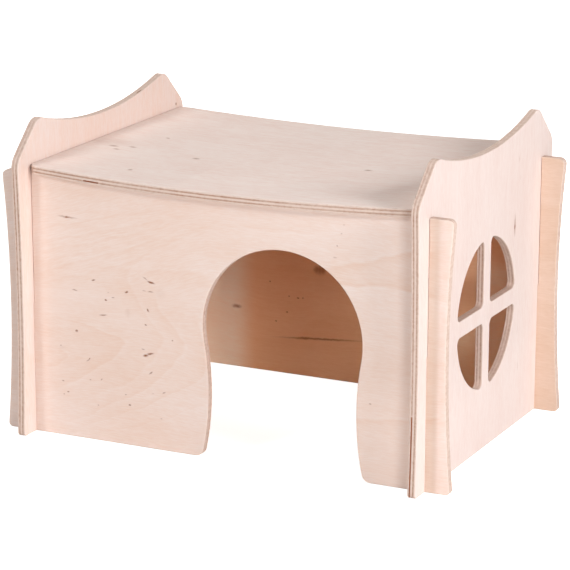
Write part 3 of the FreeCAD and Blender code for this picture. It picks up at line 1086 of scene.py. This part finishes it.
    def roof(self) -> BentBoard:
        """The loose roof board, greyer and more mottled than the walls.

        Returns:
            The board.
        """
        top = Veneer(
            "#FDEEE7", "#F6DFD6", fibres=1.0, figure=0.08, mottle=0.6,
            flecks=Fleck.several(
                (-86, -16.5, 7, 4.5, 0.5), (-81.5, -21.5, 5, 3, 0.5), (-77, -13.2, 6, 3.2, 0.45),
                (-90, -10, 30, 22, 0.15, 20), (-56, -53.8, 3.4, 3.4, 0.6), (-71.8, 13.2, 3, 2, 0.6),
                (-40.2, -17.3, 5, 3.2, 0.6), (44.2, -4.3, 5.5, 3.2, 0.6),
            ),
        )
        return BentBoard(
            "roof_board", "roof_panel", self.roof_body, "birch_plywood_roof", Axis.X, Axis.Z,
            finish=BirchPlywood(
                "birch_plywood_roof_sanded", seed=14, roughness=0.76, fibre_line=Grain(11, 1.3, 11, 3)
            ),
            low_face=Veneer(parts=(self.painted_shade_under_roof,)), high_face=top,
            gaps=(Gap(-65.8, -74.8, 8.2, -1, 0.5),),
        )

    def make(self) -> None:
        """Makes every board."""
        for board in (self.front_wall(), self.back_wall(), self.left_wall(), self.right_wall(), self.roof()):
            board.make()


# --- studio ---


@dataclass(frozen=True)
class Softbox:
    """A soft studio lamp that looks at the house from a bearing and a height."""

    name: str
    bearing: float
    height: float
    width: float
    tall: float
    watts: float
    tint: str = "#FFFFFF"
    distance: float = 1.3

    def build(self, target: Vector) -> None:
        """Hangs the lamp, aimed at the house.

        Args:
            target: The place it looks at.
        """
        way = direction(self.bearing, self.height)
        light = bpy.data.lights.new(self.name, "AREA")
        light.shape = "RECTANGLE"
        light.size = self.width
        light.size_y = self.tall
        light.energy = self.watts
        light.color = linear(self.tint)[:3]
        lamp = bpy.data.objects.new(self.name, light)
        lamp.location = target + way * self.distance
        lamp.rotation_euler = way.to_track_quat("Z", "Y").to_euler()
        bpy.context.scene.collection.objects.link(lamp)


@dataclass
class Studio:
    """Pale floor, white surroundings, soft lamps and the camera."""

    lamps: tuple[Softbox, ...] = (
        Softbox("fill_left", -28, 36, 0.26, 0.34, 4.95),
        Softbox("fill_low", -5, 8, 0.8, 0.2, 1.0),
        Softbox("key_right", 76, 26, 0.45, 0.4, 10.8),
        Softbox("front_right", 42.5, 12, 0.34, 0.3, 4.8),
        Softbox("rear_top", 215, 58, 0.9, 0.9, 5.5, "#FFF6EE"),
        Softbox("rear_low", 222, 5, 0.8, 0.3, 3.4),
    )
    world_strength: float = 0.005
    paper: str = "#F4F4F4"
    paper_reach: float = 1.6
    paper_drop: float = 0.2 * MM
    # The paper's own glow near the house and far off, and where it changes.
    glow: tuple[float, float] = (0.86, 1.0)
    glow_reach: tuple[float, float] = (0.3, 1.2)
    camera_bearing: float = 25.846
    camera_height: float = 16.407
    camera_roll: float = 0.1
    camera_distance: float = 1.32781
    aim: tuple[float, float, float] = (0.01096, -0.021, 0.04626)
    focal_pixels: float = 2775.3
    centre_pixels: tuple[float, float] = (288.53, 341.07)
    sensor: float = 36.0

    def build_camera(self) -> None:
        """Sets up the camera: a long lens above the roof, right of the doorway."""
        roll = math.radians(self.camera_roll)
        back = direction(self.camera_bearing, self.camera_height)
        level = direction(self.camera_bearing + 90, 0.0)
        upright = back.cross(level)
        right = level * math.cos(roll) + upright * math.sin(roll)
        up = upright * math.cos(roll) - level * math.sin(roll)
        camera = bpy.data.cameras.new("camera")
        camera.sensor_width = self.sensor
        camera.lens = self.focal_pixels / IMAGE_PIXELS * self.sensor
        camera.shift_x = (IMAGE_PIXELS / 2 - self.centre_pixels[0]) / IMAGE_PIXELS
        camera.shift_y = (self.centre_pixels[1] - IMAGE_PIXELS / 2) / IMAGE_PIXELS
        camera.clip_start = 0.05
        holder = bpy.data.objects.new("camera", camera)
        turn = Matrix((right, up, back)).transposed().to_4x4()
        holder.matrix_world = Matrix.Translation(Vector(self.aim) + back * self.camera_distance) @ turn
        bpy.context.scene.collection.objects.link(holder)
        bpy.context.scene.camera = holder

    def build_world(self) -> None:
        """Lights the house softly from all round, and shows plain white behind it."""
        world = bpy.data.worlds.new("studio")
        bpy.context.scene.world = world
        add = empty_tree(world)
        path = add("LightPath").outputs
        seen: Any = 0.0
        for kind in ("Is Camera Ray", "Is Glossy Ray", "Is Transmission Ray"):
            seen = add("Math", {0: seen, 1: path[kind]}, operation="MAXIMUM")
        strength = add("Mix", {"Factor": seen, "A": self.world_strength, "B": 1.0}, data_type="FLOAT")
        glow = add("Background", {"Color": linear("#FFFFFF"), "Strength": strength})
        add("OutputWorld", {"Surface": glow})

    def build_floor(self) -> None:
        """Lays a plain white floor that keeps the house's soft shadow."""
        reach = self.paper_reach
        corners = [(x * reach, y * reach, -self.paper_drop) for x, y in ((-1, -1), (1, -1), (1, 1), (-1, 1))]
        mesh = bpy.data.meshes.new("floor")
        mesh.from_pydata(corners, [], [(0, 1, 2, 3)])
        floor = bpy.data.objects.new("floor", mesh)
        bpy.context.scene.collection.objects.link(floor)
        material = bpy.data.materials.new("white_studio_paper")
        add = empty_tree(material)
        # Near the house the paper keeps its shadow. Farther off it goes over into the plain white behind.
        place = add("TexCoord").outputs["Object"]
        away = add("VectorMath", {0: place}, operation="LENGTH").outputs["Value"]
        (near, far), (low, high) = self.glow_reach, self.glow
        glow = {"Value": away, "From Min": near, "From Max": far, "To Min": low, "To Max": high}
        seen = add("LightPath").outputs["Is Camera Ray"]
        glow = add("Math", {0: seen, 1: add("MapRange", glow)}, operation="MULTIPLY")
        paper = add("BsdfDiffuse", {"Color": linear(self.paper)})
        both = add("AddShader", {0: paper, 1: add("Emission", {"Strength": glow})})
        add("OutputMaterial", {"Surface": both})
        mesh.materials.append(material)

    def make(self) -> None:
        """Sets up camera, world, floor and lamps."""
        self.build_camera()
        self.build_world()
        self.build_floor()
        for lamp in self.lamps:
            lamp.build(Vector(self.aim))
        bpy.context.scene.view_settings.view_transform = "Standard"


def main() -> None:
    """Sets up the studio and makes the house."""
    logging.basicConfig(level=logging.INFO, format="%(name)s: %(message)s")
    Studio().make()
    House().make()


if __name__ == "__main__":
    main()
